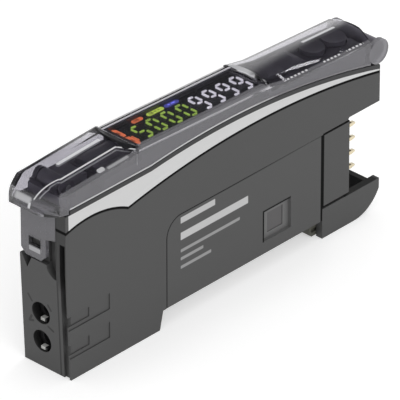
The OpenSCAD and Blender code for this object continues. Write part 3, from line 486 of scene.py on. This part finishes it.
finishes = {
    "case_plastic": moulded("case_plastic", case_tone, 0.5, paint=far_paint),
    "block_plastic": moulded("block_plastic", case_tone, 0.5, paint=block_paint),
    "near_half_plastic": moulded("near_half_plastic", case_tone, 0.5, paint=near_paint),
    "label_print": moulded("label_print", grey(0.064), 0.46, paint=label_paint),
    "stripe_plastic": moulded("stripe_plastic", grey(0.69), 0.42, mottle=0.03),
    "filter_plastic": moulded("filter_plastic", colour(0.085, 0.082, 0.084), 0.3, mottle=0.04),
    # Painted light: the deck's and the keys' tones are lighter than their plastic, because the light under
    # the cover is dim.
    "deck_plastic": moulded("deck_plastic", colour(0.14, 0.132, 0.158), 0.4, paint=deck_paint),
    "key_plastic": moulded("key_plastic", colour(0.22, 0.21, 0.245), 0.42),
    "cover_clear": clear("cover_clear", colour(0.78, 0.77, 0.81), 0.02, cover_milk,
                         colour(0.31, 0.305, 0.325)),
    "display_clear": smoked("display_clear", colour(0.8, 0.8, 0.82), 0.03, 0.06),
    "display_black": moulded("display_black", colour(0.012, 0.012, 0.014), 0.5),
    "segment_green": lit("segment_green", colour(0.5, 0.75, 0.12), 1.0),
    "segment_white": lit("segment_white", colour(0.98, 0.96, 1.0), 1.4),
    "lamp_orange": lit("lamp_orange", colour(1.0, 0.25, 0.1), 1.08, orange_marks),
    "lamp_lime": lit("lamp_lime", colour(0.78, 1.0, 0.15), 1.0, lime_marks),
    "lamp_blue": lit("lamp_blue", colour(0.11, 0.115, 0.5), 1.0, blue_marks, ink=4.0),
    "light_plastic": moulded("light_plastic", colour(0.55, 0.55, 0.54), 0.45),
    "head_plastic": moulded("head_plastic", colour(0.02, 0.02, 0.021), 0.5, paint=head_paint),
    "emitter_clear": moulded("emitter_clear", colour(0.6, 0.1, 0.06), 0.2),
    "receiver_black": moulded("receiver_black", colour(0.02, 0.02, 0.024), 0.3),
    "board": moulded("board", colour(0.01, 0.09, 0.045), 0.35),
    "chip": moulded("chip", colour(0.02, 0.02, 0.022), 0.55),
    "steel": metal("steel", colour(0.6, 0.6, 0.62), 0.3, drawn=(1.0, 1.0, 0.05)),
    "pin_metal": metal("pin_metal", colour(0.78, 0.69, 0.49), 0.3, drawn=(0.05, 1.0, 1.0)),
    "hook_plastic": moulded("hook_plastic", colour(0.1, 0.1, 0.082), 0.5),
    "lens_clear": moulded("lens_clear", colour(0.5, 0.45, 0.36), 0.2),
}

worn_by = {
    "case_plastic": ["main_case"],
    "block_plastic": ["connector_block"],
    "near_half_plastic": ["side_cover"],
    "label_print": ["label_field"],
    "stripe_plastic": ["trim_near", "trim_far"],
    "filter_plastic": ["comm_window_near", "comm_window_far"],
    "deck_plastic": ["control_deck"],
    "key_plastic": ["lock_lever", "tune_button", "rocker", "round_button_front", "round_button_rear"],
    "cover_clear": ["cover"],
    "display_clear": ["display_window"],
    "display_black": ["display_module"],
    "segment_green": ["digits_green"],
    "segment_white": ["digits_white"],
    "lamp_orange": ["lamps_orange"],
    "lamp_lime": ["lamp_lime"],
    "lamp_blue": ["lamp_blue"],
    "light_plastic": ["fibre_clamp", "tact_switches"],
    "head_plastic": ["fibre_head"],
    "emitter_clear": ["emitter"],
    "receiver_black": ["receiver", "comm_receiver"],
    "board": ["main_board", "display_board"],
    "chip": ["board_chips"],
    "steel": ["lever_pin", "rocker_axle", "rail_spring"],
    "pin_metal": ["connector_pins"],
    "hook_plastic": ["rail_hook"],
    "lens_clear": ["comm_emitter"],
}

for finish, wearers in worn_by.items():
    for wearer in wearers:
        nodes[wearer].data.materials.clear()
        nodes[wearer].data.materials.append(finishes[finish])


# Eased edges

def bevelled(piece, name, width, segments):
    """A bevel modifier on a node, after one that joins its triangles."""
    weld = piece.modifiers.new("join", "WELD")
    weld.merge_threshold = 1e-6
    bevel = piece.modifiers.new(name, "BEVEL")
    bevel.width = width * MM
    bevel.segments = segments
    return bevel


def ease_edges(piece, width):
    """Rounds a node's sharp edges a little, so that they catch the light."""
    bevel = bevelled(piece, "ease", width, 2)
    bevel.limit_method = "ANGLE"
    bevel.angle_limit = math.radians(35)
    bevel.harden_normals = True
    bevel.use_clamp_overlap = True


def round_crease(width):
    """Rounds the long crease of the cover's front hump."""
    cover = nodes["cover"]
    on_crease = [v.index for v in cover.data.vertices
                 if abs(v.co.y / MM - CREASE_Y) < 0.03 and v.co.x / MM + MID_X < 16.2 and v.co.z / MM > 33.5]
    cover.vertex_groups.new(name="crease").add(on_crease, 1.0, "REPLACE")
    bevel = bevelled(cover, "crease", width, 3)
    bevel.limit_method = "VGROUP"
    bevel.vertex_group = "crease"


for name, width in {"main_case": 0.12, "side_cover": 0.12, "connector_block": 0.12, "rail_hook": 0.1,
                    "tune_button": 0.15, "rocker": 0.15, "lock_lever": 0.15}.items():
    ease_edges(nodes[name], width)
round_crease(0.3)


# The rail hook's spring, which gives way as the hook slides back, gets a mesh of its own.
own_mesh(nodes["rail_spring"])


# Floor, light and camera

def rays(w, *kinds):
    """1 for rays of the named kinds."""
    path = w.add("ShaderNodeLightPath").socket.node.outputs
    total = Wire(w.tree, path[kinds[0]])
    for kind in kinds[1:]:
        total = total.over(Wire(w.tree, path[kind]))
    return total


def lay_floor():
    """A pale sheet just under the foot."""
    bpy.ops.mesh.primitive_plane_add(size=6, location=(0, 0, -0.02 * MM))
    floor = bpy.context.object
    floor.name = "floor"
    material, w, place, x, y, z = blank("floor_paper")
    seen = rays(w, "Is Camera Ray", "Is Glossy Ray", "Is Transmission Ray")
    paper = noise(place, per_mm=0.02, detail=2).blend(grey(0.80), grey(0.82))
    close(w, w.add("ShaderNodeBsdfPrincipled", (), {
        "Base Color": paper, "Roughness": 0.9, "Specular IOR Level": 0.0,
        "Emission Color": seen.blend(grey(0), grey(1)), "Emission Strength": 0.45}))
    floor.data.materials.append(material)


def set_sky():
    """White to the camera, plain grey for the light, and darker overhead in mirrors and through the cover."""
    world = bpy.data.worlds.new("studio")
    bpy.context.scene.world = world
    world.use_nodes = True
    world.node_tree.nodes.clear()
    w = Wire(world.node_tree)
    way = w.add("ShaderNodeTexCoord", out="Generated")
    overhead = w.add("ShaderNodeSeparateXYZ", (), {0: way}, "Z").step(0.2, 0.42)
    gloss = overhead.blend(grey(0.95), colour(0.015, 0.015, 0.016))
    through = overhead.blend(grey(0.95), colour(0.15, 0.15, 0.155))
    plain = rays(w, "Is Glossy Ray").blend(grey(0.66), gloss)
    plain = rays(w, "Is Transmission Ray").blend(plain, through)
    seen = rays(w, "Is Camera Ray").blend(plain, grey(1))
    w.add("ShaderNodeOutputWorld", (), {"Surface": w.add("ShaderNodeBackground", (), {"Color": seen})})


def hang_light(name, way, far, size, power):
    """A soft box in the given direction, turned towards the middle of the case."""
    light = bpy.data.lights.new(name, "AREA")
    light.shape = "RECTANGLE"
    light.size, light.size_y = size
    light.energy = power
    lamp = bpy.data.objects.new(name, light)
    way = Vector(way).normalized()
    lamp.location = way * far + Vector((0, 0, 0.018))
    lamp.rotation_euler = way.to_track_quat("Z", "Y").to_euler()
    bpy.context.scene.collection.objects.link(lamp)


def aim_camera():
    """A long lens from the front and the near side, above the case."""
    turn, rise = math.radians(46.84), math.radians(31.15)
    distance, to_right, to_top = 1061, 23.58, 26.21
    back = Vector((-math.sin(turn) * math.cos(rise), -math.cos(turn) * math.cos(rise), math.sin(rise)))
    right = Vector((math.cos(turn), -math.sin(turn), 0))
    up = back.cross(right)
    lens = bpy.data.cameras.new("camera")
    lens.lens, lens.sensor_width = 615.2, 36
    camera = bpy.data.objects.new("camera", lens)
    camera.matrix_world = (Matrix.Translation(spot(*(back * distance + right * to_right + up * to_top)))
                           @ Matrix((right, up, back)).transposed().to_4x4())
    bpy.context.scene.collection.objects.link(camera)
    bpy.context.scene.camera = camera


lay_floor()
set_sky()
hang_light("side_box", (-0.35, -0.85, 0.5), 1.2, (0.9, 0.6), 4)
hang_light("crease_strip", (0.63, 0.14, 0.76), 1.0, (0.16, 0.12), 0.7)
aim_camera()
bpy.context.scene.view_settings.view_transform = "Standard"
